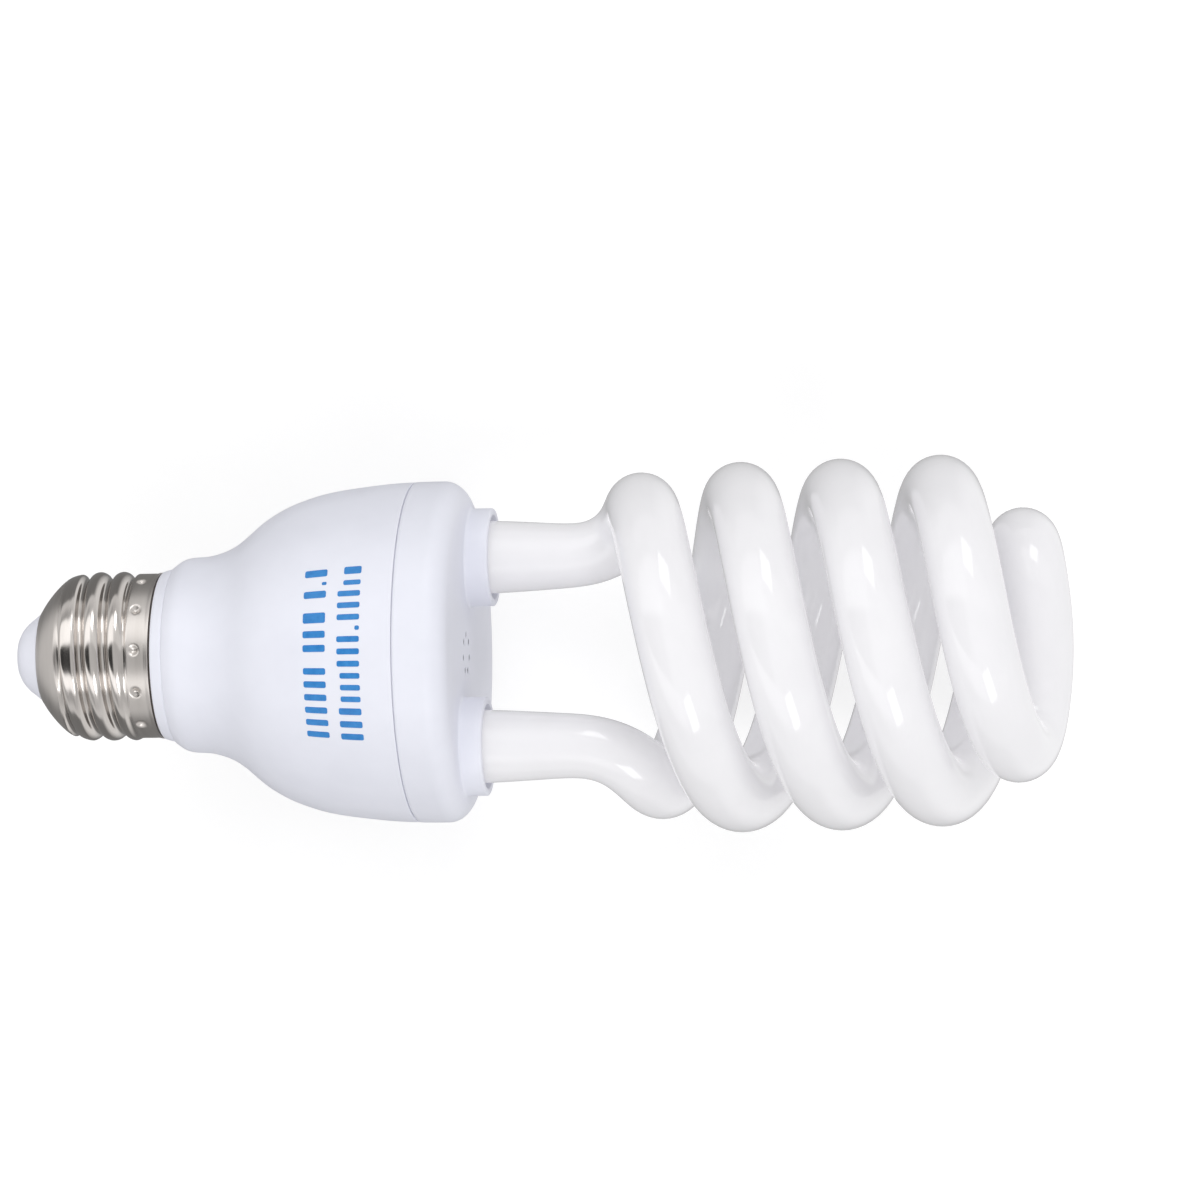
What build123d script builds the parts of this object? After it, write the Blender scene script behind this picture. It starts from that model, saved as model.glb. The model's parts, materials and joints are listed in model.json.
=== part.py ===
# Spiral compact fluorescent lamp with a 27 mm screw cap.
# Millimetres. +X runs along the lamp from the cap to the coil, with the outer face of the centre contact at X = 0.
import math
import os

import numpy as np
from build123d import *

# ---- driving dimensions -------------------------------------------------
# screw cap
THREAD_R = 13.1          # over the crests of the screw
SKIRT_R = 12.7
SHEET = 0.37             # sheet thickness of the screw shell
THREAD_FROM, THREAD_TO = 9.3, 18.5
SHELL_END = 22.6
DIMPLES, DIMPLE_X = 12, 20.4
CONTACT_R = 2.6
SPIGOT_R, SPIGOT_FROM = 12.28, 10.6

# housing: outline as X, radius
WALL = 1.6
NECK = [(24.8, 13.75), (25.2, 14.1), (26.1, 14.8), (27.2, 15.1), (28.5, 15.18), (30.0, 15.25)]
BELL = [(30.0, 15.25), (31.7, 15.65), (33.6, 16.35), (35.5, 17.5), (37.3, 19.0), (39.2, 20.6), (41.1, 21.8),
        (43.0, 22.8), (44.8, 23.5), (46.7, 24.15), (48.6, 24.65), (52.3, 25.3), (56.0, 25.75), (59.8, 26.1), (62.5, 26.2)]
HOUSING_END = 62.5
COUNTERBORE_R, COUNTERBORE_FROM = 24.6, 56.4

# cover
COVER_R, COVER_FROM, FACE_X, FACE_R, DOME = 26.2, 62.8, 70.4, 22.4, -0.5
SKIRT_IN_R, SKIRT_OUT_R, SKIRT_FROM = 23.0, 24.5, 56.5
COLLAR_R, COLLAR_BORE_R, COLLAR_FROM, COLLAR_TO = 7.55, 6.45, 64.0, 73.8
VENTS, VENT_R, VENT_RING, VENT_Y, VENT_Z = 7, 0.55, 2.9, -0.3, 0.0

# glass tube: rows of X, angle round the lamp's axis in degrees, distance from it, tube radius
LEG_ANGLE, LEG_OUT, LEG_END_X = -16.0, 15.1, 60.0
LEG_1 = [(LEG_END_X, LEG_ANGLE, LEG_OUT, 5.7), (70, LEG_ANGLE, LEG_OUT, 5.7), (80, LEG_ANGLE, LEG_OUT, 5.3), (87.5, LEG_ANGLE, LEG_OUT, 4.85),
         (92.2, -13.5, 16.4, 4.9), (95.5, -7, 19.2, 5.15), (97.3, 6, 21.8, 5.35), (98.9, 24, 22.8, 5.45), (101.3, 50, 23.0, 5.5), (105.0, 90, 23.0, 5.5)]
LEG_2 = [(LEG_END_X, LEG_ANGLE, LEG_OUT, 5.7), (70, LEG_ANGLE, LEG_OUT, 5.7), (80, LEG_ANGLE, LEG_OUT, 5.3), (88.5, LEG_ANGLE, LEG_OUT, 4.85),
         (93.4, -13.5, 16.2, 4.9), (96.9, -7, 18.5, 5.15), (99.0, 6, 20.9, 5.35), (100.3, 24, 22.2, 5.45), (102.3, 50, 22.8, 5.5), (105.4, 90, 22.95, 5.5)]
COIL = [(112.5, 180, 22.9, 5.5), (120.2, 270, 22.95, 5.5), (127.8, 360, 22.95, 5.5), (135.5, 450, 22.95, 5.5), (143.1, 540, 22.9, 5.5),
        (147.2, 590, 22.5, 5.5), (151.4, 645, 20.75, 5.45), (153.8, 678, 18.85, 5.36)]
LEAN = [(0, 0), (95, 0), (112, 0.15), (128, 0.35), (143, 0.75), (150, 0.45), (156, 0.05), (200, 0)]  # the coil's sideways lean
# the run over the top: straight across the axis, with a bend at each end that eases into the coil
CROWN_X, CROWN_R, CROWN_SLOPE = 157.9, 5.2, 0.2172
CROWN_STRAIGHT, CROWN_EASE_IN, CROWN_HELD, CROWN_EASE_OUT = 6.3152, 6.0, 5.7068, 8.0  # lengths of half of it, from the axis
CROWN_BEND, CROWN_OUT_R = 6.6747, 17.0
SECTIONS, PER_RUN = 169, 4  # cross-sections along the bent tube, and how many to each smooth run
LEG_TO = 81.0            # the feet are straight to here

# ballast board
BOARD_R, BOARD_FROM, BOARD_THICK = 23.6, 54.85, 1.6
XB = BOARD_FROM

os.makedirs("parts", exist_ok=True)


# ---- helpers ------------------------------------------------------------
def rod(r, x0, x1, y=0.0, z=0.0):
    """A round bar along X."""
    return Pos(x0, y, z) * Rot(0, 90, 0) * Cylinder(r, x1 - x0, align=(Align.CENTER, Align.CENTER, Align.MIN))


def block(x0, x1, y0, y1, z0, z1):
    return Pos((x0 + x1) / 2, (y0 + y1) / 2, (z0 + z1) / 2) * Box(x1 - x0, y1 - y0, z1 - z0)


def turned(*runs):
    """A solid turned about X. Each run is ('l', points) for straight lines or ('s', points) for a smooth curve."""
    edges, first, last = [], None, None
    for kind, pts in runs:
        pts = [(float(a), float(b)) for a, b in pts]
        if last is not None and math.dist(last, pts[0]) > 1e-6:
            edges.append(Line(last, pts[0]))
        if kind == "s":
            edges.append(Spline(*pts))
        else:
            edges += [Line(a, b) for a, b in zip(pts[:-1], pts[1:])]
        first = first or pts[0]
        last = pts[-1]
    if math.dist(last, first) > 1e-6:
        edges.append(Line(last, first))
    return revolve(make_face(edges), axis=Axis.X)


def inset(pts, by):
    """The same outline, moved in by a wall."""
    p = np.array(pts, float)
    t = np.gradient(p, axis=0)
    n = np.stack([-t[:, 1], t[:, 0]], 1) / np.linalg.norm(t, axis=1)[:, None]
    return [tuple(q) for q in p - n * by]


def stick(a, b, r):
    """A round bar from point to point."""
    a, b = Vector(*a), Vector(*b)
    return Solid.make_cylinder(r, (b - a).length, Plane(origin=a, z_dir=(b - a)))


def wire(points, r):
    """Round wire with rounded corners."""
    out = None
    for a, b in zip(points[:-1], points[1:]):
        piece = stick(a, b, r)
        out = piece if out is None else out.fuse(piece)
    for q in points[1:-1]:
        out = out.fuse(Pos(*q) * Sphere(r))
    return out.solids()[0]


def save(name, *solids):
    flat = []
    for s in solids:
        flat += s.solids()
    export_step(Compound(children=[Solid(x.wrapped) for x in flat]) if len(flat) > 1 else flat[0], f"parts/{name}.step")
    print(name, len(flat), round(sum(x.volume for x in flat), 1))


# ---- screw cap ----------------------------------------------------------
shell = turned(
    ("l", [(3.9, 7.05), (3.9, 7.35)]),
    ("s", [(3.9, 7.35), (4.8, 8.7), (5.8, 10.0), (7.2, 11.5), (8.1, 12.3), (8.75, 12.8), (THREAD_FROM, THREAD_R)]),
    ("l", [(THREAD_FROM, THREAD_R), (THREAD_TO, THREAD_R), (18.9, SKIRT_R), (SHELL_END, SKIRT_R), (SHELL_END, SKIRT_R - SHEET),
           (18.75, SKIRT_R - SHEET), (18.35, THREAD_R - SHEET), (9.45, THREAD_R - SHEET)]),
    ("s", [(9.45, THREAD_R - SHEET), (8.95, 12.45), (8.25, 11.9), (7.4, 11.15), (6.1, 9.75), (5.1, 8.45), (4.2, 7.05)]),
)
for i in range(DIMPLES):
    a = math.radians(4 + 360 / DIMPLES * i)
    c = SKIRT_R + 0.55
    shell -= Pos(DIMPLE_X, c * math.sin(a), c * math.cos(a)) * Sphere(0.8)
save("screw_shell", shell)

insulator = turned(
    ("l", [(0.7, 1.25), (0.7, CONTACT_R + 0.03), (0.05, CONTACT_R + 0.03), (0.05, 3.0)]),
    ("s", [(0.05, 3.0), (0.3, 3.55), (0.7, 4.25), (1.2, 4.85), (1.7, 5.35), (2.4, 5.9), (3.1, 6.45), (3.85, 6.95)]),
    ("l", [(3.85, 6.95), (4.55, 6.95), (4.55, 7.3), (5.0, 7.6), (7.5, 7.6), (7.5, 1.25)]),
)
save("cap_insulator", insulator)

contact = rod(CONTACT_R, 0.0, 0.66) + rod(1.2, 0.66, 7.9)
save("centre_contact", contact)

# ---- housing ------------------------------------------------------------
inner_bell = inset(BELL, WALL)
housing = turned(
    ("l", [(SPIGOT_FROM, 10.8), (SPIGOT_FROM, SPIGOT_R - 0.4), (SPIGOT_FROM + 0.4, SPIGOT_R), (22.7, SPIGOT_R), (22.7, 12.95), (24.7, 13.5), (24.8, 13.75)]),
    ("s", NECK),
    ("s", BELL),
    ("l", [(HOUSING_END, 26.2), (HOUSING_END, COUNTERBORE_R), (COUNTERBORE_FROM, COUNTERBORE_R), (COUNTERBORE_FROM, 24.15)]),
    ("s", [(COUNTERBORE_FROM, 24.15)] + [p for p in inner_bell[::-1] if 31.5 < p[0] < 56.2] + [(30.6, 13.65)]),
    ("l", [(30.6, 13.65), (27.6, 13.5), (24.4, 10.8)]),
)
for i in range(4):
    rib = Rot(45 + 90 * i, 0, 0) * block(50.0, XB - 0.05, 21.9, 24.2, -0.6, 0.6)
    housing += rib
save("lower_housing", housing)

# ---- cover --------------------------------------------------------------
legs = [(LEG_OUT * math.cos(math.radians(a)), LEG_OUT * math.sin(math.radians(a))) for a in (LEG_ANGLE, LEG_ANGLE + 180)]
cover = turned(
    ("l", [(SKIRT_FROM, SKIRT_IN_R), (SKIRT_FROM, SKIRT_OUT_R), (COVER_FROM, SKIRT_OUT_R), (COVER_FROM, COVER_R - 0.15), (COVER_FROM + 0.15, COVER_R), (66.9, COVER_R)]),
    ("s", [(66.9, COVER_R), (68.2, 26.0), (69.2, 25.4), (69.95, 24.4), (70.3, 23.4), (FACE_X, FACE_R)]),
    ("s", [(FACE_X, FACE_R), (FACE_X + DOME * 0.44, 16.8), (FACE_X + DOME * 0.75, 11.2), (FACE_X + DOME * 0.94, 5.6), (FACE_X + DOME, 0.0)]),
    ("l", [(FACE_X + DOME, 0.0), (FACE_X - 1.6, 0.0), (FACE_X - 1.6, 22.2), (67.6, SKIRT_IN_R), (SKIRT_FROM, SKIRT_IN_R)]),
)
for y, z in legs:
    cover += rod(COLLAR_R, COLLAR_FROM, COLLAR_TO, y, z)
for y, z in legs:
    cover -= rod(COLLAR_BORE_R, COLLAR_FROM - 1, COLLAR_TO + 1, y, z)
for i in range(VENTS):
    a = 2 * math.pi * i / VENTS
    cover -= rod(VENT_R, 66, 73, VENT_Y + VENT_RING * math.cos(a), VENT_Z + VENT_RING * math.sin(a))
save("upper_cover", cover)


# ---- glass tube ---------------------------------------------------------
def steady(xs, ys, x):
    """A smooth curve through a table that never overshoots it."""
    xs, ys = np.asarray(xs, float), np.asarray(ys, float)
    h = np.diff(xs)
    d = np.diff(ys) / h
    m = np.zeros_like(ys)
    for i in range(1, len(xs) - 1):
        if d[i - 1] * d[i] > 0:
            a, b = 2 * h[i] + h[i - 1], h[i] + 2 * h[i - 1]
            m[i] = (a + b) / (a / d[i - 1] + b / d[i])
    m[0], m[-1] = d[0], d[-1]
    i = np.clip(np.searchsorted(xs, x) - 1, 0, len(xs) - 2)
    t = (x - xs[i]) / h[i]
    return (1 + 2 * t) * (1 - t) ** 2 * ys[i] + t * (1 - t) ** 2 * h[i] * m[i] + t * t * (3 - 2 * t) * ys[i + 1] + t * t * (t - 1) * h[i] * m[i + 1]


def soften(a, w):
    k = np.exp(-0.5 * (np.arange(-4 * w, 4 * w + 1) / w) ** 2)
    p = np.concatenate([2 * a[0] - a[4 * w:0:-1], a, 2 * a[-1] - a[-2:-4 * w - 2:-1]])
    return np.convolve(p, k / k.sum(), "valid")


def arm(rows, n=2400):
    x, phi, r, t = np.array(rows, float).T
    phi = np.radians(phi)
    s = np.r_[0, np.cumsum(np.sqrt(np.diff(x) ** 2 + np.diff(r) ** 2 + ((r[1:] + r[:-1]) / 2 * np.diff(phi)) ** 2))]
    q = np.linspace(0, s[-1], n)
    x, phi, r, t = (steady(s, v, q) for v in (x, phi, r, t))
    return np.c_[x, r * np.cos(phi), r * np.sin(phi)], t


def crown(x0, t0, n=1300):
    """Half of the run over the top, from the end of a coil to the axis."""
    a, b, c, length = np.cumsum([CROWN_STRAIGHT, CROWN_EASE_IN, CROWN_HELD, CROWN_EASE_OUT])
    s = np.linspace(0, length, n)
    tight, out = 1 / CROWN_BEND, 1 / CROWN_OUT_R
    k = np.where(s < a, 0, np.where(s < b, tight * (0.5 - 0.5 * np.cos(np.pi * (s - a) / CROWN_EASE_IN)),
                 np.where(s < c, tight, out + (tight - out) * (0.5 + 0.5 * np.cos(np.pi * (s - c) / CROWN_EASE_OUT)))))

    def run(v):
        return np.r_[0, np.cumsum((v[1:] + v[:-1]) / 2 * (s[1] - s[0]))]

    turn = run(k)
    f = 1 - s / length
    x = x0 + (f - 2 * f ** 2 + f ** 3) * CROWN_SLOPE * length + (CROWN_X - x0) * (3 * f ** 2 - 2 * f ** 3)
    return np.c_[x, run(np.cos(turn)), -run(np.sin(turn))][::-1], (t0 + (CROWN_R - t0) * f)[::-1]


def centre_line(n=3600):
    a, ta = arm(LEG_1 + COIL)
    b, tb = arm(LEG_2 + COIL)
    c, tc = crown(COIL[-1][0], COIL[-1][3])
    half = np.array([1, -1, -1])
    p = np.r_[a, c[1:], (c * half)[-2:0:-1], (b * half)[::-1]]
    t = np.r_[ta, tc[1:], tc[-2:0:-1], tb[::-1]]
    s = np.r_[0, np.cumsum(np.linalg.norm(np.diff(p, axis=0), axis=1))]
    q = np.linspace(0, s[-1], n)
    p = np.stack([np.interp(q, s, p[:, i]) for i in range(3)], 1)
    t = np.interp(q, s, t)
    p[:, 1] += steady(*zip(*LEAN), p[:, 0])
    return np.stack([soften(p[:, i], 9) for i in range(3)], 1), soften(t, 9)


line, thick = centre_line()
along = np.gradient(line, axis=0)
step = np.linalg.norm(along, axis=1)
along /= step[:, None]
along[0] = along[1] = (1, 0, 0)
along[-1] = along[-2] = (-1, 0, 0)
side, v = [], np.array([0, 0, 1.0])
for t in along:
    v = v - (v @ t) * t
    v /= np.linalg.norm(v)
    side.append(v.copy())


def leg(y, z, first, step):
    """The straight foot of the tube, turned about its own axis."""
    pick = [i for i in range(first, first + step * 160, step) if line[i][0] < LEG_TO - 0.6][::14]
    pts = [(float(line[i][0]), float(thick[i])) for i in pick] + [(LEG_TO, leg_end_r)]
    pts = [(LEG_END_X, pts[0][1]), (70.0, pts[0][1])] + [q for q in pts if q[0] > 71.5]
    return Pos(0, y, z) * turned(("l", [(LEG_END_X, 0), (LEG_END_X, pts[0][1]), (70.0, pts[0][1])]), ("s", pts[1:]), ("l", [(LEG_TO, leg_end_r), (LEG_TO, 0)]))


starts = int(np.argmax(line[:, 0] >= LEG_TO))
ends = len(line) - 1 - int(np.argmax(line[::-1, 0] >= LEG_TO))
leg_end_r = float(thick[starts])
line[starts], along[starts], thick[starts] = (LEG_TO, *legs[0]), (1, 0, 0), leg_end_r
line[ends], along[ends], thick[ends] = (LEG_TO, *legs[1]), (-1, 0, 0), leg_end_r
rings = []
for i in np.round(np.linspace(starts, ends, SECTIONS)).astype(int):
    place = Plane(origin=tuple(map(float, line[i])), x_dir=tuple(map(float, side[i])), z_dir=tuple(map(float, along[i])))
    rings.append(Wire.make_circle(float(thick[i]), place))
runs = [Solid.make_loft(rings[i:i + PER_RUN + 1]) for i in range(0, SECTIONS - 1, PER_RUN)]
glass = leg(*legs[0], 0, 1).fuse(*runs, leg(*legs[1], len(line) - 1, -1))
save("glass_tube", glass)

cement = [rod(COLLAR_BORE_R - 0.02, 64.2, 67.4, y, z) - rod(5.74, 64.0, 67.6, y, z) for y, z in legs]
save("tube_cement", *cement)

# ---- ballast board and what stands on it --------------------------------
board = rod(BOARD_R, BOARD_FROM, BOARD_FROM + BOARD_THICK)
save("ballast_board", board)

# smoothing capacitor, standing in the neck
can = fillet(rod(5.0, XB - 22.6, XB - 0.6, -4.5, -4.5).edges(), 0.6)
can -= Pos(XB - 2.6, -4.5, -4.5) * Rot(0, 90, 0) * Torus(5.25, 0.5)
for dy in (-1.25, 1.25):
    can += rod(0.3, XB - 0.8, XB, -4.5 + dy, -4.5)
save("smoothing_capacitor", can)

# choke: core, bobbin and winding round the core's middle leg
CY, CZ = 10.0, -2.0
core = block(XB - 13.5, XB - 1.0, CY - 2.5, CY + 2.5, CZ - 7, CZ + 7)
for z0, z1 in ((CZ - 4.5, CZ - 2.0), (CZ + 2.0, CZ + 4.5)):
    core -= block(XB - 11.0, XB - 3.5, CY - 4, CY + 4, z0, z1)
save("choke_core", core)
bobbin = block(XB - 10.95, XB - 3.55, CY - 3.1, CY + 3.1, CZ - 2.65, CZ + 2.65)
for x0 in (XB - 10.95, XB - 4.15):
    bobbin += block(x0, x0 + 0.6, CY - 6, CY + 6, CZ - 4.4, CZ + 4.4)
bobbin -= block(XB - 12, XB - 3, CY - 2.52, CY + 2.52, CZ - 2.05, CZ + 2.05)
for y in (CY - 5, CY + 5):
    for z in (CZ - 3, CZ + 3):
        bobbin += rod(0.4, XB - 3.7, XB, y, z)
save("choke_bobbin", bobbin)
winding = fillet(block(XB - 10.3, XB - 4.2, CY - 5.6, CY + 5.6, CZ - 4.1, CZ + 4.1).edges().filter_by(Axis.X), 1.4)
winding -= block(XB - 11, XB - 4, CY - 3.13, CY + 3.13, CZ - 2.68, CZ + 2.68)
save("choke_winding", winding)

# drive transformer: ring core with three windings
TY, TZ = -3.0, 9.0
ring = rod(4.75, XB - 5.6, XB - 1.1, TY, TZ) - rod(2.5, XB - 6, XB, TY, TZ)
save("drive_ring_core", ring)
turns = []
for i in range(3):
    sleeve = rod(5.35, XB - 6.2, XB - 0.5, TY, TZ) - rod(1.9, XB - 7, XB, TY, TZ)
    sleeve -= rod(4.78, XB - 5.63, XB - 1.07, TY, TZ) - rod(2.47, XB - 6, XB, TY, TZ)
    wedge = Pos(0, TY, TZ) * Rot(40 + 120 * i, 0, 0) * (block(XB - 8, XB + 1, 0.8, 9, -9, 9) & (Rot(-62, 0, 0) * block(XB - 8, XB + 1, -9, 9, 0, 9)) & (Rot(62, 0, 0) * block(XB - 8, XB + 1, -9, 9, -9, 0)))
    turns.append(sleeve & wedge)
save("drive_ring_windings", *turns)


def legged(x0, x1, y, z, dy, dz, spots, soft=0.5):
    """A moulded body standing on thin legs."""
    body = fillet(block(x0, x1, y - dy / 2, y + dy / 2, z - dz / 2, z + dz / 2).edges(), soft)
    for a, b in spots:
        body += rod(0.35, x1 - 0.3, XB, y + a, z + b)
    return body


transistors = []
for y, z in ((-14.5, 5.0), (-14.5, -7.0)):
    t = legged(XB - 13.5, XB - 2.8, y, z, 3.0, 7.8, [(0, -2.3), (0, 0), (0, 2.3)], 0.3)
    t -= Pos(XB - 10.2, y, z) * Rot(90, 0, 0) * Cylinder(1.5, 8)
    transistors.append(t)
save("switching_transistors", *transistors)
save("resonant_capacitor", legged(XB - 10.0, XB - 0.8, 18.4, -1.0, 3.6, 8.0, [(0, -2.5), (0, 2.5)], 1.2))
save("film_capacitors",
     legged(XB - 9.0, XB - 0.8, -4.0, -15.0, 9.0, 4.0, [(-3, 0), (3, 0)], 1.2),
     legged(XB - 7.0, XB - 0.8, -11.0, 14.0, 5.0, 3.0, [(-1.8, 0), (1.8, 0)], 1.0))


def axial(y, z, length, r, reach, turn=0.0, lead=0.3, high=2.2):
    """A small round body lying over the board on two bent leads."""
    d = (math.cos(math.radians(turn)), math.sin(math.radians(turn)))
    x = XB - high

    def at(k, xx=x):
        return (xx, y + d[0] * k, z + d[1] * k)

    body = fillet(stick(at(-length / 2), at(length / 2), r).edges(), r * 0.3)
    for e in (-1, 1):
        body = body + wire([at(e * (length / 2 - 0.2)), at(e * reach), at(e * reach, XB)], lead)
    return body


save("rectifier_diodes", *[axial(y, z, 5.0, 1.3, 3.7) for y, z in ((9.0, 8.3), (9.0, 11.6), (9.0, 14.9), (0.6, 18.0))])
save("resistors", axial(17.9, 9.0, 4.6, 1.1, 3.2, 90), axial(-19.0, 0.0, 5.0, 1.1, 3.6, 90), axial(-12.2, -14.5, 3.6, 1.0, 2.5), axial(-6.9, 18.4, 3.6, 1.0, 2.6))
save("trigger_diode", axial(13.8, -12.6, 3.4, 0.85, 2.3, lead=0.25))

# input filter coil: drum core and its winding
FY, FZ = 7.0, -15.5
drum = rod(3.5, XB - 9.4, XB - 8.2, FY, FZ) + rod(1.8, XB - 8.2, XB - 1.4, FY, FZ) + rod(3.5, XB - 1.4, XB, FY, FZ)
save("filter_core", drum)
save("filter_winding", rod(3.1, XB - 8.17, XB - 1.43, FY, FZ) - rod(1.83, XB - 9, XB, FY, FZ))

# posts and leads on the tube side of the board
XT = BOARD_FROM + BOARD_THICK
posts, leads = [], []
for s, (cy, cz) in zip((1, -1), legs):
    for py, pz, off in ((16.6, 9.0, 1.8), (8.0, 11.0, -1.8)):
        py, pz = s * py, s * pz
        posts.append(block(XT, XT + 5.0, py - 0.4, py + 0.4, pz - 0.4, pz + 0.4))
        y0, z0 = cy + s * off, cz
        d = Vector(0, py - y0, pz - z0).normalized()
        leads.append(wire([(LEG_END_X, y0, z0), (58.3, y0, z0), (58.3, py - d.Y * 0.75, pz - d.Z * 0.75)], 0.25))
save("wrap_posts", *posts)
save("filament_leads", *leads)

# supply side: fusible resistor and wires into the cap
fuse = fillet(rod(1.7, 14.5, 23.5, 1.8, 0.8).edges(), 0.5)
fuse = fuse + wire([(23.3, 1.8, 0.8), (27.0, 1.8, 0.8)], 0.35) + wire([(14.7, 1.8, 0.8), (12.6, 1.8, 0.8), (9.9, 0, 0), (7.9, 0, 0)], 0.35)
save("fusible_resistor", fuse)
save("live_wire", wire([(27.0, 1.8, 0.8), (XB, 1.8, 0.8)], 0.7))
save("neutral_wire", wire([(XB, 0.0, 3.6), (9.75, 0.0, 3.6), (9.75, 0.0, 12.35)], 0.45))
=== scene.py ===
import json
import math

import bmesh
import bpy
import numpy as np
from mathutils import Matrix, Vector
from mathutils.geometry import delaunay_2d_cdt


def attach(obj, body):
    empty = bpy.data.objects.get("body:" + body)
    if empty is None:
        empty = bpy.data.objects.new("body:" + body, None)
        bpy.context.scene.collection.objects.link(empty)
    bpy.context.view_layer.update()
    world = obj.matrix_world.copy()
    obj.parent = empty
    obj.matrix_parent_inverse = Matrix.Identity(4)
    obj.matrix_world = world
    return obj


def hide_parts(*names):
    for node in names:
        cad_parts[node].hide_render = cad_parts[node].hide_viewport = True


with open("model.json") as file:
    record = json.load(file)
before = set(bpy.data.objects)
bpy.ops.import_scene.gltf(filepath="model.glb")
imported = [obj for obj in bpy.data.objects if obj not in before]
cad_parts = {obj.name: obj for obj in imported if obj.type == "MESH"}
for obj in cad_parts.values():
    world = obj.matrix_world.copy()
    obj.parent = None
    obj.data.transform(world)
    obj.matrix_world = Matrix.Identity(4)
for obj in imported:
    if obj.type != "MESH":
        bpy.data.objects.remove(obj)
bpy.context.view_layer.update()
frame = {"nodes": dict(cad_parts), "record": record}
scene = bpy.context.scene
scene.view_settings.view_transform = "Standard"
scene.view_settings.look = "None"

# ---- tables ---------------------------------------------------------------
LEG_ANGLE, LEG_OUT, LEG_END_X = -16.0, 15.1, 60.0
LEG_1 = [(LEG_END_X, LEG_ANGLE, LEG_OUT, 5.7), (70, LEG_ANGLE, LEG_OUT, 5.7), (80, LEG_ANGLE, LEG_OUT, 5.3), (87.5, LEG_ANGLE, LEG_OUT, 4.85),
         (92.2, -13.5, 16.4, 4.9), (95.5, -7, 19.2, 5.15), (97.3, 6, 21.8, 5.35), (98.9, 24, 22.8, 5.45), (101.3, 50, 23.0, 5.5), (105.0, 90, 23.0, 5.5)]
LEG_2 = [(LEG_END_X, LEG_ANGLE, LEG_OUT, 5.7), (70, LEG_ANGLE, LEG_OUT, 5.7), (80, LEG_ANGLE, LEG_OUT, 5.3), (88.5, LEG_ANGLE, LEG_OUT, 4.85),
         (93.4, -13.5, 16.2, 4.9), (96.9, -7, 18.5, 5.15), (99.0, 6, 20.9, 5.35), (100.3, 24, 22.2, 5.45), (102.3, 50, 22.8, 5.5), (105.4, 90, 22.95, 5.5)]
COIL = [(112.5, 180, 22.9, 5.5), (120.2, 270, 22.95, 5.5), (127.8, 360, 22.95, 5.5), (135.5, 450, 22.95, 5.5), (143.1, 540, 22.9, 5.5),
        (147.2, 590, 22.5, 5.5), (151.4, 645, 20.75, 5.45), (153.8, 678, 18.85, 5.36)]
LEAN = [(0, 0), (95, 0), (112, 0.15), (128, 0.35), (143, 0.75), (150, 0.45), (156, 0.05), (200, 0)]
CROWN_X, CROWN_R, CROWN_SLOPE = 157.9, 5.2, 0.2172
CROWN_STRAIGHT, CROWN_EASE_IN, CROWN_HELD, CROWN_EASE_OUT = 6.3152, 6.0, 5.7068, 8.0
CROWN_BEND, CROWN_OUT_R = 6.6747, 17.0

NECK = [(24.8, 13.75), (25.2, 14.1), (26.1, 14.8), (27.2, 15.1), (28.5, 15.18), (30.0, 15.25)]
BELL = [(31.7, 15.65), (33.6, 16.35), (35.5, 17.5), (37.3, 19.0), (39.2, 20.6), (41.1, 21.8),
        (43.0, 22.8), (44.8, 23.5), (46.7, 24.15), (48.6, 24.65), (52.3, 25.3), (56.0, 25.75), (59.8, 26.1), (62.5, 26.2)]
LEGS = [(LEG_OUT * math.cos(math.radians(a)), LEG_OUT * math.sin(math.radians(a))) for a in (LEG_ANGLE, LEG_ANGLE + 180)]


# ---- curves ---------------------------------------------------------------
def steady(xs, ys, x):
    """A smooth curve through a table that never overshoots it."""
    xs, ys = np.asarray(xs, float), np.asarray(ys, float)
    h = np.diff(xs)
    d = np.diff(ys) / h
    m = np.zeros_like(ys)
    for i in range(1, len(xs) - 1):
        if d[i - 1] * d[i] > 0:
            a, b = 2 * h[i] + h[i - 1], h[i] + 2 * h[i - 1]
            m[i] = (a + b) / (a / d[i - 1] + b / d[i])
    m[0], m[-1] = d[0], d[-1]
    i = np.clip(np.searchsorted(xs, x) - 1, 0, len(xs) - 2)
    t = (x - xs[i]) / h[i]
    return (1 + 2 * t) * (1 - t) ** 2 * ys[i] + t * (1 - t) ** 2 * h[i] * m[i] + t * t * (3 - 2 * t) * ys[i + 1] + t * t * (t - 1) * h[i] * m[i + 1]


def natural(xs, ys, x):
    """A natural cubic through a table."""
    xs, ys = np.asarray(xs, float), np.asarray(ys, float)
    n, h = len(xs), np.diff(xs)
    a, b = np.zeros((n, n)), np.zeros(n)
    a[0, 0] = a[-1, -1] = 1
    for i in range(1, n - 1):
        a[i, i - 1:i + 2] = h[i - 1], 2 * (h[i - 1] + h[i]), h[i]
        b[i] = 6 * ((ys[i + 1] - ys[i]) / h[i] - (ys[i] - ys[i - 1]) / h[i - 1])
    m = np.linalg.solve(a, b)
    i = np.clip(np.searchsorted(xs, x) - 1, 0, n - 2)
    p, q = xs[i + 1] - x, np.asarray(x) - xs[i]
    return (m[i] * p ** 3 + m[i + 1] * q ** 3) / (6 * h[i]) + (ys[i] / h[i] - m[i] * h[i] / 6) * p + (ys[i + 1] / h[i] - m[i + 1] * h[i] / 6) * q


def step(a, b, x):
    t = np.clip((np.asarray(x, float) - a) / (b - a), 0, 1)
    return t * t * (3 - 2 * t)


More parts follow.
